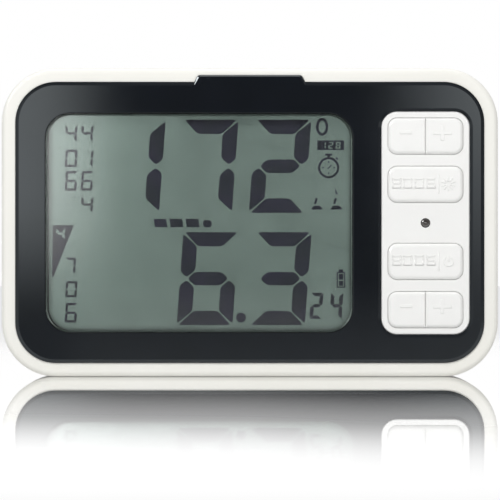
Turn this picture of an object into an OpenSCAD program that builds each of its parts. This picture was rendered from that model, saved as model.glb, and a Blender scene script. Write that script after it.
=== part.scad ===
// Sailing wind and compass display: a flat sealed instrument with a large
// liquid crystal window, six keys in a side panel, a battery bay and a tripod
// socket at the back. It stands upright on its long lower edge.
//
// Millimetres. Every piece is drawn lying on its back: x to the right, y up
// the face, z from the back (0) towards the reader. upright() then stands it
// on the floor with its face towards -Y.

/* [Front] */
// Width of the white rim round the bezel
rim_w = 3.9; // [3.4:0.1:6]
// Bezel from its left edge to the window
bezel_left = 8.3; // [6:0.1:14]
// Bezel above the window
bezel_top = 8.6; // [6:0.1:14]
// Bezel below the window
bezel_bottom = 8.3; // [6:0.1:14]
// Bezel between the window and the key panel
bezel_middle = 7.9; // [7:0.1:14]
// Bezel from the key panel to its right edge
bezel_right = 4; // [3.6:0.1:10]
// Corner radius of the bezel
bezel_r = 11.2; // [9:0.1:14]
// Thickness of the bezel
bezel_t = 2.2; // [2:0.1:3]
// Height of the bezel above the rim
bezel_proud = 0.8; // [0.4:0.1:1]
// Width of the sloping bevel round the bezel's outer edge
bezel_bevel = 0.9; // [0.4:0.1:1.2]
// Fall of every sloping bevel of the bezel, in mm for each mm of its width
bevel_fall = 0.45; // [0.3:0.05:0.6]
// Width of the tab on top of the bezel, at its foot
tab_w = 30.6; // [16:0.1:50]
// Height of the tab above the bezel
tab_h = 1.9; // [1:0.1:2.2]
// Run of the tab's slanted ends
tab_slant = 0.9; // [0.5:0.1:3]
// Rounding of the tab's upper corners
tab_r = 1.2; // [0.4:0.1:1.5]
// Chamfer along the tab's edge
tab_bevel = 0.35; // [0.2:0.05:0.5]

/* [Window] */
// Width of the window opening
window_w = 85.4; // [76:0.1:110]
// Height of the window opening
window_h = 61; // [57:0.1:76]
// Corner radius of the window opening
window_r = 6.9; // [4:0.1:9]
// Width of the bezel's sloping bevel round the window
window_bevel = 0.2; // [0.1:0.05:0.5]
// Shadow gap between the lens and the window's edge
lens_gap = 0.25; // [0.15:0.05:0.35]
// Chamfer round the lens face
lens_bevel = 0.25; // [0.1:0.05:0.4]
// Depth of the lens face below the bezel face
lens_sink = 0.4; // [0.2:0.05:0.7]
// Width of the flange that holds the lens behind the bezel
lens_flange = 1.1; // [0.8:0.1:1.6]
// Thickness of that flange
lens_flange_t = 0.7; // [0.5:0.05:0.9]
// Thickness of the adhesive gasket under the lens
lens_tape_t = 0.3; // [0.1:0.05:0.4]
// Width of the dark border between window edge and picture
view_border = 0.65; // [0.5:0.05:2]

/* [Keys] */
// Width of the key panel
panel_w = 24.5; // [22:0.1:32]
// Corner radius of the key panel
panel_r = 4.4; // [3.4:0.1:6]
// Depth of the panel face below the bezel face
panel_sink = 0.4; // [0.2:0.05:0.7]
// Rounding of the panel's edge
panel_edge = 0.4; // [0.1:0.05:0.5]
// Width of the bezel's sloping bevel round the panel
panel_bevel = 0.8; // [0.3:0.05:0.9]
// Width of the flange that holds the panel behind the bezel
panel_flange = 0.9; // [0.8:0.1:1.4]
// Thickness of that flange
panel_flange_t = 0.8; // [0.5:0.05:0.9]
// Height of a key
key_h = 10.1; // [9:0.1:14]
// Panel left at each side of the keys
key_side = 1.8; // [1.5:0.05:3]
// Panel above the top key and below the bottom key
key_end = 1.8; // [1.5:0.05:3]
// Panel between the two keys of a pair
key_pair_gap = 3.3; // [2.4:0.1:5]
// Panel between the upper and the lower pair
key_mid_gap = 11.3; // [9:0.1:16]
// Corner radius of a key
key_r = 2.6; // [2:0.1:3.4]
// Rounding of a key's upper edge
key_edge = 1.1; // [0.4:0.1:1.2]
// Height of a key above the panel
key_proud = 0.6; // [0.55:0.05:1]
// Slit between a minus key and its plus key
key_seam = 0.1; // [0.1:0.05:0.4]
// Chamfer along that slit
seam_bevel = 0.4; // [0.1:0.05:0.5]
// Gap between a key and its opening
key_gap = 0.1; // [0.1:0.05:0.3]
// Chamfer round a key's opening
key_hole_bevel = 0.1; // [0.1:0.05:0.3]
// Width of a key's retaining flange
key_flange = 0.7; // [0.5:0.05:0.9]
// Thickness of that flange
key_flange_t = 2.2; // [1.8:0.1:2.5]
// Thickness of the panel's lip over that flange
panel_lip = 0.5; // [0.4:0.05:0.7]
// Travel of a key and of the switch plunger under it
key_travel = 0.3; // [0.2:0.05:0.4]
// Radius of the light pipe between the pairs
pipe_r = 1.3; // [0.8:0.1:2]
// Depth of the light pipe's rim below the panel face
pipe_sink = 0.25; // [0.1:0.05:0.4]
// Flat rim round the dome of the light pipe
pipe_rim = 0.25; // [0.1:0.05:0.4]
// Height of that dome
pipe_dome = 0.4; // [0.2:0.05:0.6]
// Thickness of the silicone keypad mat
mat_t = 1.2; // [0.8:0.1:1.5]
// Width of the mat clamped round the key opening
mat_border = 1.3; // [1:0.1:1.4]
// Side of a tact switch
switch_w = 4.5; // [3.5:0.1:4.8]
// Height of a tact switch's body
switch_h = 3.5; // [2.5:0.1:3.7]
// Distance of a half key's switch from the middle of the row
switch_x = 4.8; // [4:0.1:5.5]

/* [Case] */
// Thickness of the side walls
wall = 2.8; // [2.5:0.1:3.2]
// Thickness of the back wall
back_t = 2.4; // [1.8:0.1:3]
// Thickness of the wall behind the bezel
front_t = 2; // [1.6:0.1:3]
// Height of the rear case at the parting line
rear_depth = 15; // [13:0.1:16]
// Rounding of the front outer edge
front_edge_r = 1.5; // [0.5:0.1:1.6]
// Rounding of the back outer edge
back_edge_r = 3; // [1:0.1:3.2]
// Depth of the shadow line at the parting line
parting_depth = 0.3; // [0.1:0.05:0.5]
// Height of the shadow line at the parting line
parting_h = 0.4; // [0.2:0.05:0.8]
// Width of the case seal
seal_w = 1.2; // [0.9:0.05:1.3]
// Height of the case seal
seal_h = 1; // [0.6:0.05:1.4]
// Length of the tongue that presses the seal
tongue_h = 0.8; // [0.4:0.05:1.2]
// Depth of the pocket behind the window that takes the display
display_pocket = 1.2; // [0.6:0.05:1.4]
// Width of the bare label recess in the back
label_w = 30; // [16:1:34]
// Height of the label recess
label_h = 14; // [8:1:16]
// Depth of the label recess
label_depth = 0.3; // [0.1:0.05:0.5]

/* [Fasteners] */
// Radius of a case screw's boss
boss_r = 3.5; // [3.3:0.05:3.6]
// Radius of a case screw's shank
case_screw_r = 1.25; // [1:0.05:1.4]
// Radius of a case screw's head
case_head_r = 2.2; // [1.9:0.05:2.3]
// Height of a case screw's head
case_head_h = 1.6; // [1:0.1:2]
// Depth of a case screw's seat below the back
case_seat = 8; // [5:0.1:10]
// Length of a case screw below its head
case_screw_l = 12; // [10:0.1:13]
// Radius of a board screw's boss
board_boss_r = 1.95; // [1.7:0.05:2]
// Radius of a board screw's shank
board_screw_r = 0.95; // [0.8:0.05:1]
// Radius of a board screw's head
board_head_r = 1.8; // [1.5:0.05:1.9]
// Height of a board screw's head
board_head_h = 1.1; // [0.8:0.1:1.4]
// Length of a board screw below its head
board_screw_l = 6; // [4:0.1:6.5]
// Radius of a door screw's shank
door_screw_r = 1.25; // [1:0.05:1.4]
// Radius of a door screw's head
door_head_r = 2.7; // [2.2:0.1:3]
// Height of a door screw's head
door_head_h = 1.1; // [0.8:0.1:1.2]
// Length of a door screw below its head
door_screw_l = 6; // [5:0.1:7]
// Outer radius of the tripod insert
insert_r = 4.2; // [3.6:0.1:5]
// Length of the tripod insert
insert_l = 8; // [6:0.1:9]
// Radius of the tripod insert's bore, for a 1/4 inch camera screw
insert_bore_r = 2.55; // [2.4:0.05:2.7]

/* [Battery bay] */
// Diameter of a battery cell
cell_d = 10.5; // [9.8:0.1:11]
// Length of a battery cell with its button
cell_l = 44.5; // [42:0.1:46]
// Gap between neighbouring cells
cell_gap = 0.4; // [0.2:0.1:1]
// Length of a contact spring as fitted
spring_l = 5.5; // [4:0.1:7]
// Radius of the spring's wire
spring_wire_r = 0.35; // [0.25:0.05:0.45]
// Thickness of a contact plate
plate_t = 0.5; // [0.3:0.05:0.8]
// Thickness of the bay's walls
bay_wall = 1.4; // [1:0.1:2]
// Thickness of the bay's floor
bay_floor = 1.2; // [0.9:0.1:2]
// Thickness of the battery door
door_t = 2; // [1.9:0.1:3]
// Door beyond the bay at its two screws
door_ear = 9.2; // [8.6:0.1:14]
// Door beyond the bay above and below
door_land = 3.4; // [3:0.1:5]
// Corner radius of the door
door_r = 4; // [2:0.1:6]
// Radius of the nail scoop below the door
scoop_r = 5; // [3:0.5:7]
// Depth of that scoop
scoop_depth = 1.2; // [0.5:0.1:1.6]
// Width of the door seal
door_seal_w = 1.4; // [1:0.1:1.6]
// Height of the door seal
door_seal_h = 0.9; // [0.6:0.1:1.2]
// Thickness of the foam strip on the door
pad_t = 0.3; // [0.1:0.05:0.4]

/* [Display and board] */
// Thickness of the main board
board_t = 1.6; // [1:0.1:2]
// Gap between the main board and the battery bay
board_gap = 0.6; // [0.4:0.1:2]
// Gap between the main board and the case walls
board_edge = 2.2; // [1.2:0.1:2.4]
// Thickness of the reflector behind the light guide
reflector_t = 0.3; // [0.1:0.05:0.4]
// Thickness of the light guide
guide_t = 4.2; // [3.6:0.1:5]
// Thickness of one display glass
glass_t = 1.1; // [0.7:0.1:1.4]
// Thickness of the front polariser
polariser_t = 0.2; // [0.1:0.05:0.3]
// Thickness of the foam gasket in front of the display
gasket_t = 0.5; // [0.4:0.05:1]
// Glass beyond the visible picture
glass_border = 1.4; // [1.2:0.1:1.8]
// Wall of the display frame
frame_wall = 1.3; // [1:0.05:1.35]
// Width of the zebra strip under the glass ledge
zebra_w = 1.2; // [0.8:0.1:1.3]
// Length of the zebra strip
zebra_l = 74; // [40:1:78]

/* [Hidden] */
$fn = 64;
eps = 0.01; // overshoot of a cutter through a free face
fit = 0.1; // gap round a piece that lies in a pocket
thread_gap = 0.05; // gap between a screw and its pilot hole
face_gap = 0.05; // gap between a key and the panel above it
small_gap = 0.15; // gap between the mat and what it almost touches
bay_room = 0.5; // free height in the battery bay

// Heights above the back, one stack from battery to keys
bay_top = door_t + cell_d + bay_room;
board_z = bay_top + bay_floor + board_gap;
board_face = board_z + board_t;
guide_z = board_face + reflector_t;
rear_glass_z = guide_z + guide_t;
front_glass_z = rear_glass_z + glass_t;
polariser_z = front_glass_z + glass_t;
gasket_z = polariser_z + polariser_t;
wall_z = gasket_z + gasket_t - display_pocket;
floor_z = wall_z + front_t;
bezel_face = floor_z + bezel_t;
body_d = bezel_face - bezel_proud;
lens_face = bezel_face - lens_sink;
panel_face = bezel_face - panel_sink;
key_top = panel_face + key_proud;
key_flange_z = panel_face - panel_lip - face_gap - key_flange_t;
mat_z = wall_z - mat_t;
mat_pad_top = key_flange_z - key_travel - small_gap;
total_d = max(key_top, bezel_face);

// The face, worked out from what it holds
panel_h = 2 * (key_end + 2 * key_h + key_pair_gap) + key_mid_gap;
bezel_w = bezel_left + window_w + bezel_middle + panel_w + bezel_right;
bezel_h = max(bezel_top + window_h + bezel_bottom, panel_h + 2 * bezel_right);
body_w = bezel_w + 2 * rim_w;
body_h = bezel_h + 2 * rim_w;
corner_r = bezel_r + rim_w;
inner_w = body_w - 2 * wall;
inner_h = body_h - 2 * wall;
inner_r = corner_r - wall;
window_x = -bezel_w / 2 + bezel_left + window_w / 2;
window_y = (bezel_bottom - bezel_top) / 2;
panel_x = bezel_w / 2 - bezel_right - panel_w / 2;
panel_y = window_y;
view_w = window_w - 2 * view_border;
view_h = window_h - 2 * view_border;
view_r = window_r - view_border;

// Keys
key_w = panel_w - 2 * key_side;
row_outer = panel_h / 2 - key_end - key_h / 2;
row_inner = row_outer - key_h - key_pair_gap;
key_hole_w = key_w + 2 * key_flange + 2 * key_gap;
key_hole_h = 2 * row_outer + key_h + 2 * key_flange + 2 * key_gap;
key_hole_r = key_r + key_flange + key_gap;
mat_w = key_hole_w + 2 * mat_border;
mat_h = key_hole_h + 2 * mat_border;
mat_r = key_hole_r + mat_border;
switch_top = board_face + switch_h;
plunger_r = switch_w / 4;
plunger_h = 0.6; // plunger above its switch
plunger_in = 0.8; // plunger inside its switch
pipe_flange_r = pipe_r + 0.9;
pipe_flange_t = 0.8;
sensor_w = 2;
sensor_h = 0.8;

// Display
glass_w = view_w + 2 * glass_border;
glass_h = view_h + 2 * glass_border;
ledge = zebra_w + 0.4; // bare strip of the front glass over the zebra strip
rear_glass_h = glass_h - ledge;
frame_w = glass_w + 2 * (frame_wall + fit);
frame_h = glass_h + 2 * (frame_wall + fit);
frame_r = 4;
glass_r = 1;
gasket_w = 1.6; // visible width of foam beyond the picture
led_size = [1.2, 2.8, 2.6];
led_pitch = 18;
guide_w = glass_w - led_size[0] - 2 * fit;

// Bosses for the case screws: one tucked in each corner, one in the middle
// of each long side, all fused a little into the wall
boss_fuse = 0.4;
boss_diag = (inner_r - boss_r + boss_fuse) * cos(45);
boss_corner = [body_w / 2 - corner_r + boss_diag, body_h / 2 - corner_r + boss_diag];
boss_mid_y = inner_h / 2 - boss_r + boss_fuse;
case_bosses = [
    for (sx = [-1, 1], sy = [-1, 1]) [sx * boss_corner[0], sy * boss_corner[1]],
    for (sy = [-1, 1]) [0, sy * boss_mid_y]
];

// Main board and its screws
board_w = inner_w - 2 * board_edge;
board_h = inner_h - 2 * board_edge;
board_r = inner_r - board_edge;
board_notch_r = boss_r + 0.6;
board_screw_x = [-board_w / 2 + board_boss_r + fit, window_x + frame_w / 2 + board_boss_r + 5 * fit];
board_screw_y = [board_h / 4 - board_boss_r, board_h / 2 - board_boss_r - 3];
board_holes = [
    for (i = [0, 1], sy = [-1, 1]) [board_screw_x[i], sy * board_screw_y[i]]
];

// Battery bay, door and tripod socket on the back
cell_pitch = cell_d + cell_gap;
bay_l = cell_l + spring_l + 2 * plate_t;
bay_h = 2 * cell_pitch + cell_d + 2 * cell_gap;
bay_r = 1.5;
door_w = bay_l + 2 * door_ear;
door_h = bay_h + 2 * door_land;
bay_y = boss_mid_y - boss_r - 1.2 - door_h / 2;
ledge_t = 2.2; // land that the door closes on
ledge_rim = 1.6; // wall round the door's recess
door_screw_x = door_w / 2 - door_head_r - 1.3;
door_boss_r = door_screw_r + 1.6;
boss_end = 1; // closed end of a boss beyond its screw
door_boss_top = door_t + door_screw_l + boss_end;
door_seal_in = 0.5; // land inside the seal
pad_inset = 2; // foam strip inside the edge of the bay
cell_z = bay_top - small_gap - cell_d / 2;
button_l = 1;
button_r = 1.9;
plate_h = 8;
plate_z = cell_z - plate_h / 2;
tab_w2 = 2.2;
insert_boss_r = insert_r + 2;
insert_y = bay_y - door_h / 2 - insert_boss_r - 4;
insert_sink = 0.2;
insert_run = 1.5; // free depth beyond the insert
label_x = -insert_boss_r - 14 - label_w / 2;
label_y = insert_y - 4;

// Parts on the back of the board
radio_size = [16, 26, 2.4];
gps_size = [18, 18, 4];
chip_size = [10, 10, 1.4];
compass_size = [4, 4, 1];
buzzer_r = 6;
buzzer_h = 3;
bay_edge = bay_l / 2 + bay_wall;
side_x = (bay_edge + board_w / 2) / 2; // middle of the free board beside the bay
low_y = bay_y - bay_h / 2 - bay_wall - 1 - chip_size[1] / 2;
processor_x = -24;
compass_x = 22;
chip_part = [1.2, 2, 0.9]; // a small part beside the processor
chip_part_pitch = 3.2;
chip_part_drop = 8; // row of small parts below the processor's middle

// ---- shared shapes ----

module upright()
    translate([0, total_d / 2, body_h / 2]) rotate([90, 0, 0]) children();

module at(p, z) translate([p[0], p[1], z]) children();

// Rectangle with round corners
module rounded(w, h, r) {
    square([w - 2 * r, h], center = true);
    square([w, h - 2 * r], center = true);
    for (sx = [-1, 1], sy = [-1, 1])
        translate([sx * (w / 2 - r), sy * (h / 2 - r)]) circle(r);
}

module plate(w, h, r, t) linear_extrude(t) rounded(w, h, r);

// Ring of even width, its outer edge w by h
module ring(w, h, r, width, t) {
    linear_extrude(t) difference() {
        rounded(w, h, r);
        rounded(w - 2 * width, h - 2 * width, r - width);
    }
}

// Slab whose edge has the child's profile, carried round a rounded rectangle.
// The profile runs from 0 at the corner's centre out to the corner radius r.
module swept(w, h, r, t) {
    for (sx = [-1, 1], sy = [-1, 1])
        translate([sx * (w / 2 - r), sy * (h / 2 - r), 0]) rotate_extrude() children();
    rotate([90, 0, 90]) linear_extrude(w - 2 * r, center = true)
        mirrored_profile(h / 2 - r, t) children();
    rotate([90, 0, 0]) linear_extrude(h - 2 * r, center = true)
        mirrored_profile(w / 2 - r, t) children();
}

module mirrored_profile(half, t) {
    translate([-half, 0]) square([2 * half, t]);
    translate([half, 0]) children();
    mirror([1, 0]) translate([half, 0]) children();
}

// Edge profile with a round of radius front at the top, back at the bottom
module round_edge(r, t, front = 0, back = 0) {
    difference() {
        square([r, t]);
        if (front > 0) translate([r - front, t - front]) difference() {
            square(front + eps);
            circle(front);
        }
        if (back > 0) translate([r - back, back]) mirror([0, 1]) difference() {
            square(back + eps);
            circle(back);
        }
    }
}

// Edge profile with a bevel that runs out by out, or in where out is less
// than nothing, over its last fall of height
module bevelled_edge(r, t, out, fall)
    polygon([[0, 0], [r, 0], [r, t - fall], [r + out, t], [0, t]]);

// Slab with a bevelled edge; w, h and r are measured below the bevel
module bevelled(w, h, r, t, out, fall) swept(w, h, r, t) bevelled_edge(r, t, out, fall);

module case_outline(grow, t) plate(body_w + 2 * grow, body_h + 2 * grow, corner_r + grow, t);

function arc(c, r, from, to, steps) =
    [for (i = [0:steps]) let (a = from + (to - from) * i / steps) c + r * [cos(a), sin(a)]];

// Half of the tab's outline: foot, slanted end, round shoulder
function tab_half(grow) = let (
    slant = atan2(tab_h, tab_slant),
    top = bezel_h / 2 + tab_h + grow,
    foot = tab_w / 2 + grow,
    cx = foot - tab_slant - tab_r * tan(slant / 2) ,
    centre = [cx, top - tab_r]
) concat([[foot + 1 / tan(slant), bezel_h / 2 - 1], [foot, bezel_h / 2 + grow]],
    arc(centre, tab_r, 90 - slant, 90, 6));

module tab_outline(grow) {
    half = tab_half(grow);
    polygon(concat(half, [for (i = [len(half) - 1:-1:0]) [-half[i][0], half[i][1]]]));
}

// Screw with a cross recess: head below z = 0, shank above
module screw(r, l, head_r, head_h) {
    slot = head_r * 1.3;
    slot_w = head_r * 0.28;
    difference() {
        union() {
            cylinder(r = r, h = l);
            translate([0, 0, -head_h]) cylinder(r = head_r, h = head_h);
        }
        for (a = [0, 90]) rotate(a)
            translate([-slot / 2, -slot_w / 2, -head_h - eps]) cube([slot, slot_w, head_h * 0.6]);
    }
}

// ---- case ----

module front_case() color("ivory") upright() difference() {
    union() {
        difference() {
            translate([0, 0, rear_depth])
                swept(body_w, body_h, corner_r, body_d - rear_depth)
                    round_edge(corner_r, body_d - rear_depth, front = front_edge_r);
            translate([0, 0, rear_depth - eps])
                plate(inner_w, inner_h, inner_r, wall_z - rear_depth + eps);
            translate([0, 0, rear_depth - eps]) shadow_line();
        }
        translate([0, 0, rear_depth - tongue_h]) tongue();
        for (p = case_bosses) at(p, rear_depth) cylinder(r = boss_r, h = wall_z - rear_depth + eps);
        for (p = board_holes) at(p, board_face) cylinder(r = board_boss_r, h = wall_z - board_face + eps);
    }
    translate([0, 0, floor_z]) bezel_recess();
    at([window_x, window_y], wall_z - eps) {
        plate(window_w, window_h, window_r, front_t + 2 * eps);
        plate(frame_w + 2 * fit, frame_h + 2 * fit, frame_r + fit, display_pocket + eps);
    }
    at([panel_x, panel_y], wall_z - eps) plate(key_hole_w, key_hole_h, key_hole_r, front_t + 2 * eps);
    for (p = case_bosses) at(p, rear_depth - eps)
        cylinder(r = case_screw_r + thread_gap, h = case_seat + case_screw_l + 0.5 - rear_depth);
    for (p = board_holes) at(p, board_face - eps)
        cylinder(r = board_screw_r + thread_gap, h = board_z + board_screw_l + 0.3 - board_face);
}

module shadow_line() difference() {
    case_outline(1, parting_h + eps);
    translate([0, 0, -eps]) case_outline(-parting_depth, parting_h + 3 * eps);
}

module bezel_recess() {
    plate(bezel_w + 2 * fit, bezel_h + 2 * fit, bezel_r + fit, body_d - floor_z + eps);
    linear_extrude(body_d - floor_z + eps) tab_outline(fit);
}

// The groove runs along the middle of the wall; the tongue follows it
module wall_ring(width, t)
    ring(body_w - wall + width, body_h - wall + width, corner_r - (wall - width) / 2, width, t);

module tongue() wall_ring(seal_w - 2 * fit, tongue_h + parting_h + 2 * eps);

module rear_case() color("ivory") upright() difference() {
    union() {
        difference() {
            swept(body_w, body_h, corner_r, rear_depth)
                round_edge(corner_r, rear_depth, back = back_edge_r);
            translate([0, 0, back_t]) plate(inner_w, inner_h, inner_r, rear_depth);
        }
        for (p = case_bosses) at(p, back_t - eps) cylinder(r = boss_r, h = rear_depth - back_t + eps);
        at([0, bay_y], back_t / 2) {
            plate(door_w + 2 * ledge_rim, door_h + 2 * ledge_rim, door_r + ledge_rim,
                door_t + ledge_t - back_t / 2);
            plate(bay_l + 2 * bay_wall, bay_h + 2 * bay_wall, bay_r + bay_wall,
                bay_top + bay_floor - back_t / 2);
        }
        for (sx = [-1, 1]) at([sx * door_screw_x, bay_y], back_t / 2)
            cylinder(r = door_boss_r, h = door_boss_top - back_t / 2);
        at([0, insert_y], back_t / 2)
            cylinder(r = insert_boss_r, h = insert_sink + insert_l + insert_run + 1.2 - back_t / 2);
    }
    at([0, bay_y], -eps) {
        plate(door_w + 2 * fit, door_h + 2 * fit, door_r + fit, door_t + eps);
        plate(bay_l, bay_h, bay_r, bay_top + eps);
    }
    at([0, bay_y], door_t - eps) door_seal_ring(door_seal_w + 2 * fit, door_seal_h + eps);
    at([0, bay_y - door_h / 2], -eps) cylinder(r = scoop_r, h = scoop_depth + eps);
    at([label_x, label_y], -eps) plate(label_w, label_h, 1.5, label_depth + eps);
    for (sx = [-1, 1]) at([sx * door_screw_x, bay_y], 0)
        cylinder(r = door_screw_r + thread_gap, h = door_boss_top - boss_end);
    for (sx = [-1, 1]) at([sx * contact_tab_x, bay_y + sx * cell_pitch], bay_top - eps)
        cube([plate_t + 2 * fit, tab_w2 + 2 * fit, 2 * bay_floor + 4 * eps], center = true);
    for (p = case_bosses) at(p, -eps) {
        cylinder(r = case_head_r + 2 * fit, h = case_seat + eps);
        cylinder(r = case_screw_r + 2 * fit, h = rear_depth + 2 * eps);
    }
    at([0, insert_y], -eps) {
        cylinder(r = insert_r + thread_gap, h = insert_sink + insert_l + eps);
        cylinder(r = insert_bore_r + 0.3, h = insert_sink + insert_l + insert_run);
    }
    translate([0, 0, rear_depth - tongue_h - seal_h]) wall_ring(seal_w, tongue_h + seal_h + eps);
}

module case_seal() color("dimgray") upright()
    translate([0, 0, rear_depth - tongue_h - seal_h]) wall_ring(seal_w - 2 * thread_gap, seal_h);

// ---- bezel, window, key panel ----

module bezel() color([0.09, 0.1, 0.11]) upright() translate([0, 0, floor_z]) difference() {
    union() {
        bevelled(bezel_w, bezel_h, bezel_r, bezel_t, -bezel_bevel, bezel_bevel * bevel_fall);
        hull() {
            linear_extrude(bezel_t - tab_bevel) tab_outline(0);
            linear_extrude(bezel_t) tab_outline(-tab_bevel);
        }
    }
    at([window_x, window_y], -eps) {
        bevelled(window_w, window_h, window_r, bezel_t + 2 * eps, window_bevel, window_bevel * bevel_fall);
        plate(lens_w + 2 * fit, lens_h + 2 * fit, lens_r + fit, lens_tape_t + lens_flange_t + fit);
    }
    at([panel_x, panel_y], -eps) {
        bevelled(panel_w + 2 * fit, panel_h + 2 * fit, panel_r + fit, bezel_t + 2 * eps,
            panel_bevel, panel_bevel * bevel_fall);
        plate(panel_w + 2 * (panel_flange + fit), panel_h + 2 * (panel_flange + fit),
            panel_r + panel_flange + fit, panel_flange_t + fit);
    }
}

lens_w = window_w + 2 * lens_flange;
lens_h = window_h + 2 * lens_flange;
lens_r = window_r + lens_flange;

module window_lens() color([0.75, 0.8, 0.78, 0.5]) upright()
    at([window_x, window_y], floor_z + lens_tape_t) {
        plate(lens_w, lens_h, lens_r, lens_flange_t);
        bevelled(window_w - 2 * lens_gap, window_h - 2 * lens_gap, window_r - lens_gap,
            lens_face - floor_z - lens_tape_t, -lens_bevel, lens_bevel);
    }

module window_gasket() color("black") upright()
    at([window_x, window_y], floor_z)
        ring(lens_w, lens_h, lens_r, lens_flange + view_border - fit, lens_tape_t);

module key_panel() color("white") upright() difference() {
    at([panel_x, panel_y], floor_z) {
        plate(panel_w + 2 * panel_flange, panel_h + 2 * panel_flange, panel_r + panel_flange,
            panel_flange_t);
        swept(panel_w, panel_h, panel_r, panel_face - floor_z)
            round_edge(panel_r, panel_face - floor_z, front = panel_edge);
    }
    for (sy = [-1, 1], row = [row_inner, row_outer]) at([panel_x, panel_y + sy * row], floor_z - eps) {
        bevelled(key_w + 2 * key_gap, key_h + 2 * key_gap, key_r + key_gap,
            panel_face - floor_z + 2 * eps, key_hole_bevel, key_hole_bevel);
        plate(key_w + 2 * (key_flange + key_gap), key_h + 2 * (key_flange + key_gap),
            key_r + key_flange + key_gap, panel_face - panel_lip - floor_z + eps);
    }
    at([panel_x, panel_y], floor_z - eps)
        cylinder(r = pipe_r + fit / 2, h = panel_face - floor_z + 2 * eps);
}

// ---- keys ----

// A whole key, its top rounded over, with the flange that keeps it in the panel
module key_cap() {
    translate([0, 0, key_flange_z]) {
        plate(key_w + 2 * key_flange, key_h + 2 * key_flange, key_r + key_flange, key_flange_t);
        swept(key_w, key_h, key_r, key_top - key_flange_z)
            round_edge(key_r, key_top - key_flange_z, front = key_edge);
    }
}

// The slit that parts a minus key from its plus key, chamfered at the top
module key_slit() {
    half = key_seam / 2;
    rotate([90, 0, 0]) linear_extrude(2 * key_h, center = true)
        polygon([[-half, key_flange_z - 1], [half, key_flange_z - 1], [half, key_top - seam_bevel],
            [half + seam_bevel + eps, key_top + eps], [-half - seam_bevel - eps, key_top + eps],
            [-half, key_top - seam_bevel]]);
}

// One side of a split key: side is -1 for minus, 1 for plus
module half_key(side) difference() {
    key_cap();
    key_slit();
    translate([side > 0 ? -key_w : 0, -key_h, key_flange_z - 1]) cube([key_w, 2 * key_h, key_top]);
}

module key_at(row) color([0.96, 0.96, 0.95]) upright() translate([panel_x, panel_y + row, 0]) children();

module key_upper_minus() key_at(row_outer) half_key(-1);
module key_upper_plus() key_at(row_outer) half_key(1);
module key_upper_mode() key_at(row_inner) key_cap();
module key_lower_mode() key_at(-row_inner) key_cap();
module key_lower_minus() key_at(-row_outer) half_key(-1);
module key_lower_plus() key_at(-row_outer) half_key(1);

// Centres of the switches, one behind each key: side is -1 for minus, 0 for a
// whole key, 1 for plus
function switch_place(row, side) = [panel_x + side * switch_x, panel_y + row];
switch_places = [
    for (sy = [-1, 1]) each [
        switch_place(sy * row_outer, -1),
        switch_place(sy * row_inner, 0),
        switch_place(sy * row_outer, 1)
    ]
];

module keypad_mat() color([0.3, 0.3, 0.32]) upright() difference() {
    union() {
        at([panel_x, panel_y], mat_z) plate(mat_w, mat_h, mat_r, mat_t);
        at([panel_x, panel_y], board_face) ring(mat_w, mat_h, mat_r, 1, mat_z - board_face + eps);
        for (p = switch_places) at(p, switch_top + plunger_h + small_gap) {
            cylinder(r = plunger_r + 0.5, h = mat_z - switch_top - plunger_h - small_gap + eps);
            cylinder(r = plunger_r + 1.4, h = mat_pad_top - switch_top - plunger_h - small_gap);
        }
    }
    at([panel_x, panel_y], board_face) cylinder(r = pipe_flange_r, h = wall_z - board_face + eps);
}

// A rod with a flange behind the panel and a shallow dome at its front
module light_pipe() color([0.2, 0.2, 0.22]) upright() {
    foot = board_face + sensor_h + fit;
    rim_z = panel_face - pipe_sink;
    dome_r = pipe_r - pipe_rim;
    ball_r = (dome_r * dome_r + pipe_dome * pipe_dome) / (2 * pipe_dome);
    at([panel_x, panel_y], foot) cylinder(r = pipe_r, h = rim_z - foot);
    at([panel_x, panel_y], floor_z - pipe_flange_t) cylinder(r = pipe_flange_r, h = pipe_flange_t);
    intersection() {
        at([panel_x, panel_y], rim_z + pipe_dome - ball_r) sphere(ball_r);
        at([panel_x, panel_y], rim_z - eps) cylinder(r = dome_r, h = pipe_dome + 2 * eps);
    }
}

module light_sensor() color("black") upright()
    at([panel_x - sensor_w / 2, panel_y - sensor_w / 2], board_face) cube([sensor_w, sensor_w, sensor_h]);

// ---- display ----

module display_part(z) upright() at([window_x, window_y], z) children();

// Foam behind the case wall, with a lip that lines the opening up to the lens
module lcd_gasket() color("black") display_part(gasket_z) {
    ring(view_w + 2 * gasket_w, view_h + 2 * gasket_w, view_r + gasket_w, gasket_w - fit, gasket_t);
    ring(window_w - 2 * fit, window_h - 2 * fit, window_r - fit, view_border - 2 * fit, floor_z - gasket_z);
}

module lcd_polariser() color([0.62, 0.67, 0.64]) display_part(polariser_z)
    plate(glass_w - 1, glass_h - 1, glass_r, polariser_t);

module lcd_front_glass() color([0.6, 0.65, 0.62]) display_part(front_glass_z)
    plate(glass_w, glass_h, glass_r, glass_t);

module lcd_rear_glass() color([0.55, 0.6, 0.57]) display_part(rear_glass_z)
    translate([0, ledge / 2, 0]) plate(glass_w, rear_glass_h, glass_r, glass_t);

module lcd_frame() color([0.15, 0.15, 0.16]) display_part(board_face) difference() {
    plate(frame_w, frame_h, frame_r, polariser_z - board_face);
    translate([0, 0, -eps])
        plate(glass_w + 2 * fit, glass_h + 2 * fit, glass_r + fit, polariser_z - board_face + 2 * eps);
}

module light_guide() color([0.85, 0.9, 0.85]) display_part(guide_z)
    translate([led_size[0] / 2 + fit, ledge / 2, 0]) plate(guide_w, rear_glass_h, glass_r, guide_t);

module reflector_sheet() color("white") display_part(board_face)
    translate([led_size[0] / 2 + fit, ledge / 2, 0]) plate(guide_w, rear_glass_h, glass_r, reflector_t);

module backlight_leds() color("khaki") display_part(board_face)
    for (i = [-1, 0, 1])
        translate([-glass_w / 2, i * led_pitch - led_size[1] / 2, 0]) cube(led_size);

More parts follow.
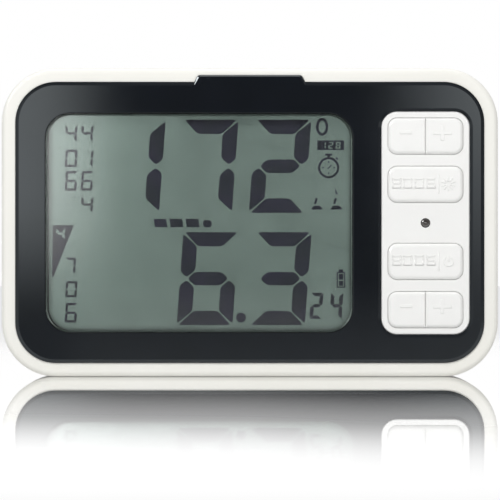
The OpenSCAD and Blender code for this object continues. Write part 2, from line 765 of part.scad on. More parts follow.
module zebra_strip() color("pink") display_part(board_face)
    translate([-zebra_l / 2, -glass_h / 2 + fit, 0]) cube([zebra_l, zebra_w, front_glass_z - board_face]);

// ---- electronics ----

module main_board() color("darkgreen") upright() translate([0, 0, board_z]) linear_extrude(board_t)
    difference() {
        rounded(board_w, board_h, board_r);
        for (p = case_bosses) translate(p) circle(board_notch_r);
        for (p = board_holes) translate(p) circle(board_screw_r + 2 * fit);
    }

module key_switches() color("silver") upright()
    for (p = switch_places) at(p, switch_top) difference() {
        translate([0, 0, -switch_h / 2]) cube([switch_w, switch_w, switch_h], center = true);
        translate([0, 0, -plunger_in - key_travel - small_gap])
            cylinder(r = plunger_r + thread_gap, h = plunger_in + key_travel + small_gap + eps);
    }

module plunger(row, side) color("black") upright() at(switch_place(row, side), switch_top - plunger_in)
    cylinder(r = plunger_r, h = plunger_in + plunger_h);

module plunger_upper_minus() plunger(row_outer, -1);
module plunger_upper_plus() plunger(row_outer, 1);
module plunger_upper_mode() plunger(row_inner, 0);
module plunger_lower_mode() plunger(-row_inner, 0);
module plunger_lower_minus() plunger(-row_outer, -1);
module plunger_lower_plus() plunger(-row_outer, 1);

// A flat part soldered to the back of the board
module on_back(p, size) upright()
    at([p[0] - size[0] / 2, p[1] - size[1] / 2], board_z - size[2]) cube(size);

module processor() color([0.15, 0.15, 0.15]) on_back([processor_x, low_y], chip_size);

module radio_module() color("silver") on_back([-side_x, bay_y], radio_size);

module gps_antenna() color("tan") on_back([side_x, bay_y], gps_size);

module compass_sensor() color([0.2, 0.2, 0.2]) on_back([compass_x, low_y], compass_size);

module buzzer() color("black") upright() at([side_x, low_y], board_z - buzzer_h) difference() {
    cylinder(r = buzzer_r, h = buzzer_h);
    translate([0, 0, -eps]) cylinder(r = buzzer_r / 5, h = buzzer_h / 2);
}

module board_parts() color("peru")
    for (i = [0:3])
        on_back([processor_x + (i - 1.5) * chip_part_pitch, low_y - chip_part_drop], chip_part);

// ---- battery bay ----

function cell_dir(i) = i == 0 ? -1 : 1; // the middle cell lies the other way round

module battery_cells() color("steelblue") upright()
    for (i = [-1, 0, 1]) translate([0, bay_y + i * cell_pitch, cell_z]) rotate([0, 90 * cell_dir(i), 0]) {
        translate([0, 0, spring_l / 2 - cell_l / 2]) cylinder(r = cell_d / 2, h = cell_l - button_l);
        translate([0, 0, spring_l / 2 + cell_l / 2 - button_l]) cylinder(r = button_r, h = button_l);
    }

contact_tab_x = bay_l / 2 - plate_t / 2;

// Link plates at the bay's ends: one spans two cells, one ends in a board tab
module battery_contacts() color("gainsboro") upright()
    for (side = [-1, 1]) translate([side * contact_tab_x, bay_y, plate_z + plate_h / 2]) {
        translate([0, -side * cell_pitch / 2, 0])
            cube([plate_t, cell_pitch + plate_h, plate_h], center = true);
        translate([0, side * cell_pitch, 0]) cube([plate_t, plate_h, plate_h], center = true);
        translate([0, side * cell_pitch, (board_z - plate_z - plate_h / 2) / 2])
            cube([plate_t, tab_w2, board_z - plate_z - plate_h / 2], center = true);
    }

// Cone-shaped wire spring, its wide end at z = 0, swept as one tube
module cone_spring(l, wide, narrow, turns) {
    sides = 6;
    per_turn = 12;
    rings = turns * per_turn;
    points = [
        for (i = [0:rings], k = [0:sides - 1])
            let (f = i / rings, a = 360 * turns * f, b = 360 * k / sides,
                r = wide + (narrow - wide) * f + spring_wire_r * cos(b))
            [r * cos(a), r * sin(a), spring_wire_r + (l - 2 * spring_wire_r) * f + spring_wire_r * sin(b)]
    ];
    skin = [for (i = [0:rings - 1], k = [0:sides - 1]) let (n = (k + 1) % sides)
        [i * sides + k, i * sides + n, (i + 1) * sides + n, (i + 1) * sides + k]];
    caps = [[for (k = [sides - 1:-1:0]) k], [for (k = [0:sides - 1]) rings * sides + k]];
    polyhedron(points, concat(skin, caps));
}

module battery_springs() color("silver") upright()
    for (i = [-1, 0, 1]) translate([-cell_dir(i) * (bay_l / 2 - plate_t), bay_y + i * cell_pitch, cell_z])
        rotate([0, 90 * cell_dir(i), 0])
            translate([0, 0, fit / 2]) cone_spring(spring_l - fit, cell_d * 0.36, cell_d * 0.2, 3);

module battery_door() color("ivory") upright() at([0, bay_y], 0) difference() {
    plate(door_w, door_h, door_r, door_t);
    for (sx = [-1, 1]) translate([sx * door_screw_x, 0, -eps]) {
        cylinder(r = door_head_r + 2 * fit, h = door_head_h + fit + eps);
        cylinder(r = door_screw_r + 2 * fit, h = door_t + 2 * eps);
    }
}

module door_seal_ring(width, t) {
    middle = door_seal_w + 2 * door_seal_in;
    ring(bay_l + middle + width, bay_h + middle + width, bay_r + (middle + width) / 2, width, t);
}

module door_seal() color("dimgray") upright()
    at([0, bay_y], door_t) door_seal_ring(door_seal_w, door_seal_h);

module door_pad() color("gray") upright()
    at([0, bay_y], door_t) plate(cell_l - 2 * pad_inset, bay_h - 2 * pad_inset, pad_inset, pad_t);

// ---- fasteners ----

module door_screws() color("silver") upright()
    for (sx = [-1, 1]) at([sx * door_screw_x, bay_y], door_head_h + fit)
        screw(door_screw_r, door_screw_l, door_head_r, door_head_h);

module case_screws() color("silver") upright()
    for (p = case_bosses) at(p, case_seat) screw(case_screw_r, case_screw_l, case_head_r, case_head_h);

module board_screws() color("silver") upright()
    for (p = board_holes) at(p, board_z) screw(board_screw_r, board_screw_l, board_head_r, board_head_h);

module mount_insert() color("goldenrod") upright() at([0, insert_y], insert_sink) difference() {
    union() {
        for (z = [0, insert_l * 0.4, insert_l * 0.8])
            translate([0, 0, z]) cylinder(r = insert_r, h = insert_l * 0.2);
        cylinder(r = insert_r - 0.4, h = insert_l);
    }
    translate([0, 0, -eps]) cylinder(r = insert_bore_r, h = insert_l + 2 * eps);
}

front_case();
rear_case();
case_seal();
bezel();
window_lens();
window_gasket();
key_panel();
key_upper_minus();
key_upper_plus();
key_upper_mode();
key_lower_mode();
key_lower_minus();
key_lower_plus();
keypad_mat();
light_pipe();
light_sensor();
lcd_gasket();
lcd_polariser();
lcd_front_glass();
lcd_rear_glass();
lcd_frame();
light_guide();
reflector_sheet();
backlight_leds();
zebra_strip();
main_board();
key_switches();
plunger_upper_minus();
plunger_upper_plus();
plunger_upper_mode();
plunger_lower_mode();
plunger_lower_minus();
plunger_lower_plus();
processor();
radio_module();
gps_antenna();
compass_sensor();
buzzer();
board_parts();
battery_cells();
battery_contacts();
battery_springs();
battery_door();
door_seal();
door_pad();
door_screws();
case_screws();
board_screws();
mount_insert();
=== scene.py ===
import math

import bpy
from mathutils import Matrix, Vector


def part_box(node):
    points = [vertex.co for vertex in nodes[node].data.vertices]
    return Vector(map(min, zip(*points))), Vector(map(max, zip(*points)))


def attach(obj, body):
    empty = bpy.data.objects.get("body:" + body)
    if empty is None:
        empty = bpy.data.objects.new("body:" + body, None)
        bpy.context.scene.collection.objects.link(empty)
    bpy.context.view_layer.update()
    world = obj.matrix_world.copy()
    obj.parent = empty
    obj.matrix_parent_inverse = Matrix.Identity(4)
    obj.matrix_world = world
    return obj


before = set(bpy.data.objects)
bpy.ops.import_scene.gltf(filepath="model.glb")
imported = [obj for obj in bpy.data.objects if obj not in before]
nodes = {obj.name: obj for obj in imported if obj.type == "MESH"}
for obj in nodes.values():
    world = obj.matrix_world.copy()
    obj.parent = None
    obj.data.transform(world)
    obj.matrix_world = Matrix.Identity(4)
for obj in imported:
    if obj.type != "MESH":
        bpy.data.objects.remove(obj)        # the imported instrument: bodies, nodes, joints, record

mm = 0.001
noiseLow, noiseHigh = 0.3, 0.7        # most of a noise texture's values lie between these
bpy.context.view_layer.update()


def linear(hexColour):        # sRGB hex to the linear colour a shader wants
    channels = [int(hexColour[i:i + 2], 16) / 255 for i in (0, 2, 4)]
    return [c / 12.92 if c <= 0.04045 else ((c + 0.055) / 1.055) ** 2.4 for c in channels] + [1.0]


def addNode(tree, kind, inputs=None, **settings):        # a node, its settings, its values or links
    node = tree.nodes.new("ShaderNode" + kind)
    for key, value in settings.items():
        setattr(node, key, value)
    for key, value in (inputs or {}).items():
        if isinstance(value, bpy.types.Node):
            value = value.outputs[0]
        if isinstance(value, bpy.types.NodeSocket):
            tree.links.new(value, node.inputs[key])
        else:
            node.inputs[key].default_value = value
    return node


def newMaterial(name):
    material = bpy.data.materials.new(name)
    material.use_nodes = True
    material.node_tree.nodes.clear()
    return material, material.node_tree


# the shade that a frame throws on what lies behind it: deeper towards a rounded border, dark beyond it
def frameShade(tree, place, colour, spec):
    x, y, z = addNode(tree, "SeparateXYZ", {0: place}).outputs
    past = []        # how far each way past the straight part of the border
    for axis, middle, length in ((x, spec["x"], spec["w"]), (z, spec["z"], spec["h"])):
        off = addNode(tree, "Math", {0: axis, 1: middle * mm}, operation="SUBTRACT")
        off = addNode(tree, "Math", {0: off}, operation="ABSOLUTE")
        past.append(addNode(tree, "Math", {0: off, 1: (length / 2 - spec["round"]) * mm}, operation="SUBTRACT"))
    corner = addNode(tree, "CombineXYZ", {k: addNode(tree, "Math", {0: one, 1: 0.0}, operation="MAXIMUM")
                                          for k, one in enumerate(past)})
    corner = addNode(tree, "VectorMath", {0: corner}, operation="LENGTH").outputs["Value"]
    inside = addNode(tree, "Math", {0: past[0], 1: past[1]}, operation="MAXIMUM")
    inside = addNode(tree, "Math", {0: inside, 1: 0.0}, operation="MINIMUM")
    out = addNode(tree, "Math", {0: corner, 1: inside}, operation="ADD")
    out = addNode(tree, "Math", {0: out, 1: spec["round"] * mm}, operation="SUBTRACT")
    near = addNode(tree, "MapRange", {"Value": out, "From Min": -spec["reach"] * mm, "From Max": 0.0})
    near = addNode(tree, "Math", {0: near, 1: spec["curve"]}, operation="POWER")
    near = addNode(tree, "Math", {0: near, 1: spec["depth"]}, operation="MULTIPLY")
    beyond = addNode(tree, "MapRange", {"Value": out, "From Min": 0.0, "From Max": spec["soft"] * mm,
                                        "To Max": spec["beyond"]})
    dark = addNode(tree, "Math", {0: near, 1: beyond}, operation="MAXIMUM")
    return addNode(tree, "Mix", {0: dark, 6: colour, 7: (0, 0, 0, 1)}, data_type="RGBA").outputs[2]


# injection moulded plastic, film or rubber: even colour in soft patches, wiped gloss, fine grain
def moulded(name, spec):
    material, tree = newMaterial(name)
    place = addNode(tree, "TexCoord").outputs["Object"]
    blotches = addNode(tree, "TexNoise", {"Vector": place, "Scale": 1 / (spec["patchMm"] * mm)})
    patches = addNode(tree, "MapRange", {"Value": blotches, "From Min": 0.35, "From Max": 0.65})
    colour = addNode(tree, "Mix", {0: patches, 6: linear(spec["colour"]), 7: linear(spec["shade"])},
                     data_type="RGBA").outputs[2]
    # painted shade: the colour darkens towards the border of the window frame over the picture, and is dark beyond it
    if "frame" in spec:
        colour = frameShade(tree, place, colour, spec["frame"])
    wipes = addNode(tree, "TexNoise", {"Vector": place, "Scale": 1 / (spec.get("wipeMm", 6) * mm), "Detail": 3.0})
    low, high = spec["roughness"]
    gloss = addNode(tree, "MapRange", {"Value": wipes, "From Min": noiseLow, "From Max": noiseHigh,
                                       "To Min": low, "To Max": high})
    grain = addNode(tree, "TexNoise", {"Vector": place, "Scale": 1 / (spec["grainMm"] * mm), "Detail": 1.0})
    bump = addNode(tree, "Bump", {"Height": grain, "Strength": 1.0, "Distance": spec["grainDepthMm"] * mm})
    shader = addNode(tree, "BsdfPrincipled", {"Base Color": colour, "Roughness": gloss, "Normal": bump,
                                              "IOR": spec["ior"]})
    for key, value in spec.get("also", {}).items():
        shader.inputs[key].default_value = value
    addNode(tree, "OutputMaterial", {"Surface": shader})
    return material


# a metal's own colour, turned, stamped or plated, with its scratches drawn out one way
def metal(name, spec):
    material, tree = newMaterial(name)
    place = addNode(tree, "TexCoord").outputs["Object"]
    stretched = addNode(tree, "Mapping", {"Vector": place, "Scale": spec["stretch"]})
    scratches = addNode(tree, "TexNoise", {"Vector": stretched, "Scale": 1 / (spec["grainMm"] * mm), "Detail": 3.0})
    low, high = spec["roughness"]
    gloss = addNode(tree, "MapRange", {"Value": scratches, "From Min": noiseLow, "From Max": noiseHigh,
                                       "To Min": low, "To Max": high})
    tarnish = addNode(tree, "TexNoise", {"Vector": place, "Scale": 1 / (spec["tarnishMm"] * mm)})
    colour = addNode(tree, "Mix", {0: tarnish, 6: linear(spec["colour"]), 7: linear(spec["shade"])},
                     data_type="RGBA").outputs[2]
    bump = addNode(tree, "Bump", {"Height": scratches, "Strength": 0.5, "Distance": spec["depthMm"] * mm})
    shader = addNode(tree, "BsdfPrincipled", {"Base Color": colour, "Roughness": gloss, "Normal": bump,
                                              "Metallic": 1.0})
    addNode(tree, "OutputMaterial", {"Surface": shader})
    return material


# clear sheet: the eye sees its gloss, while lamps and soft light pass straight through
def clearSheet(name, spec):
    material, tree = newMaterial(name)
    place = addNode(tree, "TexCoord").outputs["Object"]
    wipes = addNode(tree, "TexNoise", {"Vector": place, "Scale": 1 / (spec["wipeMm"] * mm)})
    low, high = spec["roughness"]
    gloss = addNode(tree, "MapRange", {"Value": wipes, "From Min": noiseLow, "From Max": noiseHigh,
                                       "To Min": low, "To Max": high})
    glass = addNode(tree, "BsdfPrincipled", {"Base Color": linear(spec["colour"]), "Roughness": gloss,
                                             "IOR": spec["ior"], "Transmission Weight": 1.0})
    through = addNode(tree, "BsdfTransparent", {"Color": linear(spec["colour"])})
    path = addNode(tree, "LightPath").outputs
    soft = addNode(tree, "Math", {0: path["Is Shadow Ray"], 1: path["Is Diffuse Ray"]}, operation="MAXIMUM")
    surface = addNode(tree, "MixShader", {0: soft, 1: glass, 2: through})
    addNode(tree, "OutputMaterial", {"Surface": surface})
    return material


# two colours in bands, as in a layered contact strip or a woven board
def banded(name, spec):
    material, tree = newMaterial(name)
    place = addNode(tree, "TexCoord").outputs["Object"]
    bands = addNode(tree, "TexWave", {"Vector": place, "Scale": 1 / (spec["pitchMm"] * mm) / (2 * math.pi),
                                      "Distortion": spec["wobble"], "Detail": 1.0}, bands_direction=spec["along"])
    edges = addNode(tree, "MapRange", {"Value": bands.outputs["Fac"], "From Min": 0.4, "From Max": 0.6})
    colour = addNode(tree, "Mix", {0: edges, 6: linear(spec["colour"]), 7: linear(spec["shade"])},
                     data_type="RGBA").outputs[2]
    wipes = addNode(tree, "TexNoise", {"Vector": place, "Scale": 1 / (spec["wipeMm"] * mm)})
    low, high = spec["roughness"]
    gloss = addNode(tree, "MapRange", {"Value": wipes, "From Min": noiseLow, "From Max": noiseHigh,
                                       "To Min": low, "To Max": high})
    shader = addNode(tree, "BsdfPrincipled", {"Base Color": colour, "Roughness": gloss, "IOR": spec["ior"]})
    addNode(tree, "OutputMaterial", {"Surface": shader})
    return material


finishes = {
    # satin moulded ABS: bright and a touch warm, with a soft broad gloss
    "mouldedAbsWhite": (moulded, {"colour": "faf9f3", "shade": "f8f7f0", "patchMm": 22, "roughness": (0.34, 0.42),
                                  "grainMm": 0.5, "grainDepthMm": 0.002, "ior": 1.54}),
    # polished polycarbonate: deep black with a clear mirror of the studio
    "polishedPolycarbonateBlack": (moulded, {"colour": "16191d", "shade": "181b20", "patchMm": 15, "wipeMm": 9,
                                             "roughness": (0.03, 0.045), "grainMm": 2.0,
                                             "grainDepthMm": 0.0002, "ior": 1.5,
                                             "also": {"Specular Tint": (0.90, 0.98, 1.0, 1.0)}}),
    # clear acrylic sheet: a mirror on both faces and nothing else
    "clearAcrylic": (clearSheet, {"colour": "fcfdfc", "roughness": (0.0, 0.02), "wipeMm": 12, "ior": 1.49}),
    # closed cell foam: black and dull, with small pores
    "closedCellFoam": (moulded, {"colour": "121314", "shade": "1a1b1c", "patchMm": 0.5, "roughness": (0.85, 0.95),
                                 "grainMm": 0.3, "grainDepthMm": 0.05, "ior": 1.45}),
    # smooth moulded ABS of the key field
    "mouldedAbsPanel": (moulded, {"colour": "f9f9f7", "shade": "f7f7f5", "patchMm": 14, "roughness": (0.30, 0.38),
                                  "grainMm": 0.5, "grainDepthMm": 0.0015, "ior": 1.54}),
    # key caps, with a faint sheen of handling
    "mouldedAbsKeys": (moulded, {"colour": "fafaf8", "shade": "f8f8f6", "patchMm": 5, "roughness": (0.28, 0.38),
                                 "grainMm": 0.4, "grainDepthMm": 0.0015, "ior": 1.54}),
    # silicone rubber: milky and soft
    "siliconeRubber": (moulded, {"colour": "d9dbdc", "shade": "d0d3d5", "patchMm": 4, "roughness": (0.5, 0.65),
                                 "grainMm": 0.6, "grainDepthMm": 0.01, "ior": 1.41}),
    # smoked polycarbonate: brown black, its strong gloss stands for the bright chip under the dome
    "smokedPolycarbonate": (moulded, {"colour": "1c1b1b", "shade": "352c27", "patchMm": 1.0,
                                      "roughness": (0.04, 0.08), "grainMm": 0.8, "grainDepthMm": 0.001,
                                      "ior": 1.9, "also": {"Specular IOR Level": 0.7}}),
    # polariser over a silvered picture: grey green, with a metal-like glow towards the light; its colour carries the
    # painted shade of the window frame, darker towards the border and dark beyond it
    "silveredPolariser": (moulded, {"colour": "8b9c96", "shade": "879892", "patchMm": 16,
                                    "roughness": (0.13, 0.16), "grainMm": 1.2, "grainDepthMm": 0.0004,
                                    "ior": 1.5, "also": {"Metallic": 0.71},
                                    "frame": {"x": -13.72, "z": 43.6, "w": 83.9, "h": 61.3, "round": 6.3,
                                              "reach": 1.8, "curve": 2.0, "depth": 0.55, "soft": 0.25,
                                              "beyond": 0.82}}),
    # switched liquid crystal: dark, a little blue, hardly any gloss of its own
    "darkLiquidCrystal": (moulded, {"colour": "303339", "shade": "33333f", "patchMm": 9, "roughness": (0.3, 0.4),
                                    "grainMm": 1.0, "grainDepthMm": 0.0005, "ior": 1.5,
                                    "also": {"Specular IOR Level": 0.15}}),
    # float glass of the display cell: hardly any colour, a clean hard gloss
    "floatGlass": (clearSheet, {"colour": "f2f7f5", "roughness": (0.0, 0.01), "wipeMm": 20, "ior": 1.52}),
    # moulded ABS of the inner frame: even black with a broken satin gloss
    "mouldedAbsBlack": (moulded, {"colour": "17181a", "shade": "1b1c1e", "patchMm": 6, "roughness": (0.4, 0.5),
                                  "grainMm": 0.4, "grainDepthMm": 0.004, "ior": 1.54}),
    # frosted acrylic light guide: milky, with a soft wide gloss
    "frostedAcrylic": (moulded, {"colour": "e6ecec", "shade": "dde4e5", "patchMm": 3, "roughness": (0.35, 0.5),
                                 "grainMm": 0.5, "grainDepthMm": 0.01, "ior": 1.49}),
    # phosphor in the lamp bodies: an even pale yellow
    "ledPhosphor": (moulded, {"colour": "e9dfa0", "shade": "e2d78f", "patchMm": 0.8, "roughness": (0.3, 0.4),
                              "grainMm": 0.3, "grainDepthMm": 0.005, "ior": 1.5}),
    # carbon and silicone layers of the contact strip, drawn at 0.5 mm so that they show
    "zebraRubber": (banded, {"colour": "18191a", "shade": "cfd2d2", "pitchMm": 0.5, "wobble": 0.0, "wipeMm": 1.0,
                             "roughness": (0.5, 0.6), "ior": 1.41, "along": "X"}),
    # glass cloth board under green mask: deep green, with the cloth showing as faint bands
    "glassEpoxyBoard": (banded, {"colour": "1d5a38", "shade": "236642", "pitchMm": 0.8, "wobble": 1.5, "wipeMm": 1.0,
                                 "roughness": (0.25, 0.35), "ior": 1.55, "along": "DIAGONAL"}),
    # black epoxy package: charcoal, dull, with a fine grain
    "blackEpoxy": (moulded, {"colour": "1d1e20", "shade": "232426", "patchMm": 2, "roughness": (0.45, 0.6),
                             "grainMm": 0.3, "grainDepthMm": 0.006, "ior": 1.55}),
    # fired ceramic of the antenna: a dry sandy tan
    "firedCeramic": (moulded, {"colour": "b9a889", "shade": "ae9d7e", "patchMm": 1.2, "roughness": (0.55, 0.7),
                               "grainMm": 0.4, "grainDepthMm": 0.01, "ior": 1.6}),
    # shrink sleeve round a cell: blue film with a tight clear gloss
    "shrinkSleeve": (moulded, {"colour": "2c3f57", "shade": "314762", "patchMm": 5, "roughness": (0.2, 0.3),
                               "grainMm": 0.8, "grainDepthMm": 0.004, "ior": 1.5}),
    # nickel plated spring steel: pale warm metal with fine drawn marks
    "nickelPlate": (metal, {"colour": "c9c5bb", "shade": "bdb8ad", "roughness": (0.18, 0.3), "grainMm": 0.4,
                            "tarnishMm": 1.5, "depthMm": 0.004, "stretch": (1, 1, 4)}),
    # stamped stainless cover: cool grey metal with fine rolled marks
    "stampedStainless": (metal, {"colour": "c3c4c6", "shade": "b7b9bc", "roughness": (0.25, 0.38), "grainMm": 0.3,
                                 "tarnishMm": 1.5, "depthMm": 0.004, "stretch": (5, 1, 1)}),
    # turned stainless screws: cool grey metal with fine tool marks
    "turnedStainless": (metal, {"colour": "bfc0c2", "shade": "acaeb1", "roughness": (0.2, 0.34), "grainMm": 0.3,
                                "tarnishMm": 1.5, "depthMm": 0.004, "stretch": (1, 6, 1)}),
    # turned brass insert: yellow metal with fine tool marks
    "turnedBrass": (metal, {"colour": "d8b368", "shade": "c9a257", "roughness": (0.2, 0.32), "grainMm": 0.3,
                            "tarnishMm": 1.5, "depthMm": 0.004, "stretch": (1, 6, 1)}),
}
materials = {name: build(name, spec) for name, (build, spec) in finishes.items()}

dressing = {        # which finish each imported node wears
    "mouldedAbsWhite": ["front_case", "rear_case", "battery_door"],
    "polishedPolycarbonateBlack": ["bezel"],
    "clearAcrylic": ["window_lens"],
    "closedCellFoam": ["window_gasket", "lcd_gasket", "door_pad"],
    "mouldedAbsPanel": ["key_panel"],
    "mouldedAbsKeys": ["key_upper_minus", "key_upper_plus", "key_upper_mode", "key_lower_mode",
                       "key_lower_minus", "key_lower_plus"],
    "siliconeRubber": ["keypad_mat", "case_seal", "door_seal"],
    "smokedPolycarbonate": ["light_pipe"],
    "silveredPolariser": ["lcd_polariser"],
    "floatGlass": ["lcd_front_glass", "lcd_rear_glass"],
    "mouldedAbsBlack": ["lcd_frame"],
    "frostedAcrylic": ["light_guide", "reflector_sheet"],
    "ledPhosphor": ["backlight_leds"],
    "zebraRubber": ["zebra_strip"],
    "glassEpoxyBoard": ["main_board"],
    "blackEpoxy": ["processor", "compass_sensor", "buzzer", "board_parts", "light_sensor",
                   "plunger_upper_minus", "plunger_upper_plus", "plunger_upper_mode",
                   "plunger_lower_mode", "plunger_lower_minus", "plunger_lower_plus"],
    "firedCeramic": ["gps_antenna"],
    "shrinkSleeve": ["battery_cells"],
    "nickelPlate": ["battery_contacts", "battery_springs"],
    "stampedStainless": ["key_switches", "radio_module"],
    "turnedStainless": ["door_screws", "case_screws", "board_screws"],
    "turnedBrass": ["mount_insert"],
}
for finish, names in dressing.items():
    for name in names:
        for holder in nodes[name].material_slots:
            holder.material = materials[finish]
print("materials on the packed nodes:", len(materials))


# outlines below are lists of corners in mm; each corner of a rounded one is turned by a short curve
def rounded(points, radius, steps=4):
    outline = []
    for i, corner in enumerate(points):
        ends = []
        for other in (points[i - 1], points[(i + 1) % len(points)]):
            run = math.dist(corner, other)
            reach = min(radius, 0.45 * run) / run
            ends.append([c + (o - c) * reach for c, o in zip(corner, other)])
        for k in range(steps + 1):
            t = k / steps
            outline.append([(1 - t) ** 2 * a + 2 * t * (1 - t) * c + t * t * b
                            for a, c, b in zip(ends[0], corner, ends[1])])
    return outline


def oval(x, y, w, h, steps=40):
    return [(x + w / 2 * math.cos(2 * math.pi * k / steps), y + h / 2 * math.sin(2 * math.pi * k / steps))
            for k in range(steps)]


def bar(x0, y0, x1, y1, width, radius=0.0):        # a stroke between two points
    run = math.dist((x0, y0), (x1, y1))
    nx, ny = -(y1 - y0) / run * width / 2, (x1 - x0) / run * width / 2
    corners = [(x0 + nx, y0 + ny), (x0 - nx, y0 - ny), (x1 - nx, y1 - ny), (x1 + nx, y1 + ny)]
    return rounded(corners, radius) if radius else corners


def plate(x0, y0, x1, y1, radius=0.0):
    corners = [(x0, y0), (x1, y0), (x1, y1), (x0, y1)]
    return rounded(corners, radius) if radius else corners


def rays(x, y, inner, outer, width, count):        # strokes that run out from a point
    turns = [2 * math.pi * (k + 0.5) / count for k in range(count)]
    return [bar(x + inner * math.cos(a), y + inner * math.sin(a), x + outer * math.cos(a),
                y + outer * math.sin(a), width) for a in turns]


segmentsOf = {"0": "abcdef", "1": "bc", "2": "abged", "3": "abgcd", "4": "fgbc", "5": "afgcd",
              "6": "afgecd", "7": "abc", "8": "abcdefg", "9": "abcdfg"}
segment = {"miter": 0.11, "lean": 0.073, "curve": 0.22, "side": 1.03}        # parts of the stroke, and the slope


def digit(figure, x, y, w, h, stroke, lean=0.0):        # seven bars with mitred ends, leaning a little
    hw, hh, t, cut = w / 2, h / 2, stroke, segment["miter"] * stroke
    s = segment["side"] * t
    side = [(hw, hh - cut), (hw, 0.5 * t), (hw - 0.44 * s, 0.1 * t), (hw - s, 0.6 * t), (hw - s, hh - t)]
    head = [(cut - hw, hh), (t + cut - hw, hh - t), (hw - t - cut, hh - t), (hw - cut, hh)]
    shapes = {
        "a": head, "b": side,
        "c": [(px, -py) for px, py in side], "d": [(px, -py) for px, py in head],
        "e": [(-px, -py) for px, py in side], "f": [(-px, py) for px, py in side],
        "g": [(0.54 * t - hw, 0), (t - hw, 0.47 * t), (hw - t, 0.47 * t),
              (hw - 0.54 * t, 0), (hw - 1.05 * t, -0.47 * t), (1.05 * t - hw, -0.47 * t)],
    }
    found = []
    for letter in segmentsOf[figure]:
        leaned = [(x + px + py * lean, y + py) for px, py in shapes[letter]]
        found.append(rounded(leaned, segment["curve"] * t, 3))
    return found


def digits(spec, lean=segment["lean"]):
    return [shape for i, figure in enumerate(spec["text"])
            for shape in digit(figure, spec["x"] + i * spec.get("pitch", 0), spec["y"], spec["w"], spec["h"],
                               spec["stroke"], lean)]


# a flat piece cut to these outlines; origin is the point of the carrying face they are measured from, in metres
def cutPiece(name, outlines, origin, thickness, material, body, bevel=0.0):
    curve = bpy.data.curves.new(name, "CURVE")
    curve.dimensions, curve.fill_mode = "2D", "BOTH"
    curve.extrude = (thickness / 2 - bevel) * mm
    curve.bevel_depth, curve.offset, curve.bevel_resolution = bevel * mm, -bevel * mm, 1
    for outline in outlines:
        spline = curve.splines.new("POLY")
        spline.points.add(len(outline) - 1)
        for point, (x, y) in zip(spline.points, outline):
            point.co = (x * mm, y * mm, 0, 1)
        spline.use_cyclic_u = True
    drawn = bpy.data.objects.new(name + "Line", curve)
    bpy.context.scene.collection.objects.link(drawn)
    mesh = bpy.data.meshes.new_from_object(drawn.evaluated_get(bpy.context.evaluated_depsgraph_get()))
    bpy.data.objects.remove(drawn)
    bpy.data.curves.remove(curve)
    mesh.transform(Matrix.Translation((origin[0], origin[1] - thickness / 2 * mm, origin[2]))
                   @ Matrix.Rotation(math.pi / 2, 4, "X"))
    mesh.name = name
    mesh.materials.clear()
    mesh.materials.append(material)
    piece = bpy.data.objects.new(name, mesh)
    bpy.context.scene.collection.objects.link(piece)
    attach(piece, body)
    return piece


# the picture on the display, in mm from the middle of its film
film = {"thickness": 0.03}
low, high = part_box("lcd_polariser")
filmFace = [(low.x + high.x) / 2, low.y, (low.z + high.z) / 2]


def displayPiece(name, outlines):
    return cutPiece(name, outlines, filmFace, film["thickness"], materials["darkLiquidCrystal"], "case")


upperRow = {"text": "172", "x": -17.99, "y": 15.79, "w": 15.5, "h": 25.9, "stroke": 4.0, "pitch": 20.24}
lowerRow = {"text": "63", "x": 2.4, "y": -15.48, "w": 15.5, "h": 25.85, "stroke": 3.95, "pitch": 20.16}
point = {"x": 11.6, "y": -26.33, "size": 2.74}
displayPiece("displayReading", digits(upperRow) + digits(lowerRow)
             + [oval(point["x"], point["y"], point["size"], point["size"])])

trend = {"bars": ((-12.63, -9.2), (-8.25, -4.75), (-3.79, -0.25)), "top": 1.13, "bottom": -1.16, "slant": 0.3,
         "drop": ((0.95, 0.8), (1.15, -1.2), (3.5, -1.2), (3.45, 0.8)), "dropCorner": 0.9}
trendBars = [[(x0, trend["top"]), (x0 + trend["slant"], trend["bottom"]),
              (x1 + trend["slant"], trend["bottom"]), (x1, trend["top"])] for x0, x1 in trend["bars"]]
trendBars.append(rounded(trend["drop"], trend["dropCorner"]))
displayPiece("displayTrend", trendBars)

smallRows = (
    {"text": "44", "x": -35.64, "y": 24.94, "w": 3.35, "h": 4.5, "stroke": 0.68, "pitch": 4.43},
    {"text": "01", "x": -35.64, "y": 17.99, "w": 3.35, "h": 4.8, "stroke": 0.66, "pitch": 4.43},
    {"text": "66", "x": -35.64, "y": 11.72, "w": 3.3, "h": 5.45, "stroke": 0.66, "pitch": 4.43},
    {"text": "4", "x": -31.21, "y": 5.12, "w": 3.35, "h": 4.4, "stroke": 0.68},
    {"text": "7", "x": -35.85, "y": -11.89, "w": 2.9, "h": 4.46, "stroke": 0.62},
    {"text": "0", "x": -35.6, "y": -18.41, "w": 3.2, "h": 4.5, "stroke": 0.66},
    {"text": "6", "x": -35.65, "y": -24.96, "w": 3.3, "h": 5.5, "stroke": 0.68},
    {"text": "24", "x": 32.6, "y": -23.04, "w": 3.4, "h": 7.27, "stroke": 0.98, "pitch": 5.55})
displayPiece("displaySmallDigits", [shape for row in smallRows for shape in digits(row)])

degree = {"x": 34.18, "y": 26.75, "w": 3.43, "h": 4.93, "line": 0.74}
marks = [oval(degree["x"], degree["y"], degree["w"], degree["h"]),
         oval(degree["x"], degree["y"], degree["w"] - 2 * degree["line"], degree["h"] - 2 * degree["line"])]

